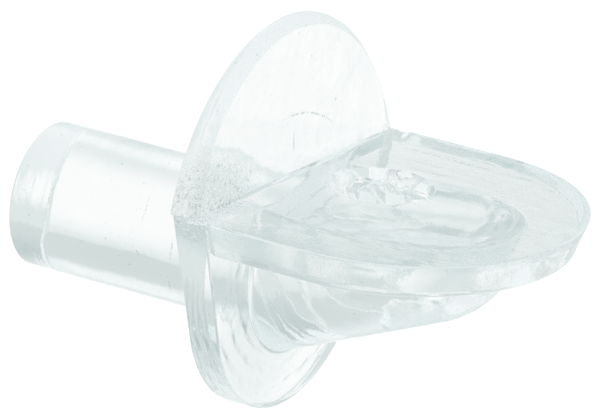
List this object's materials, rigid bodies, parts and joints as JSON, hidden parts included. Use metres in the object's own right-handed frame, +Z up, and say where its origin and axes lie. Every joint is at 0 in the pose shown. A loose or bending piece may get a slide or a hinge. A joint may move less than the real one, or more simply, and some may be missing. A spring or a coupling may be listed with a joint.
{
  "type": "shelf support pin",
  "caption": "Clear plastic shelf support: a round peg pushes into the cabinet side, a flange rests against it and a flat rounded plate on a slanting rib carries the shelf.",
  "frame": {"origin": "on the peg's axis, at the flange's back face, where it meets the cabinet side", "axes": "+X runs along the peg's axis toward the shelf plate, with the peg on -X; +Z is up, square to the plate's top; +Y runs across the plate"},
  "size_m": [0.0199, 0.013, 0.0135],
  "materials": {
    "clear_plastic": "clear polycarbonate, polished mould finish with a faint grey-green tint"
  },
  "bodies": {
    "root": {"shelf_pin": "clear_plastic"}
  },
  "joints": []
}
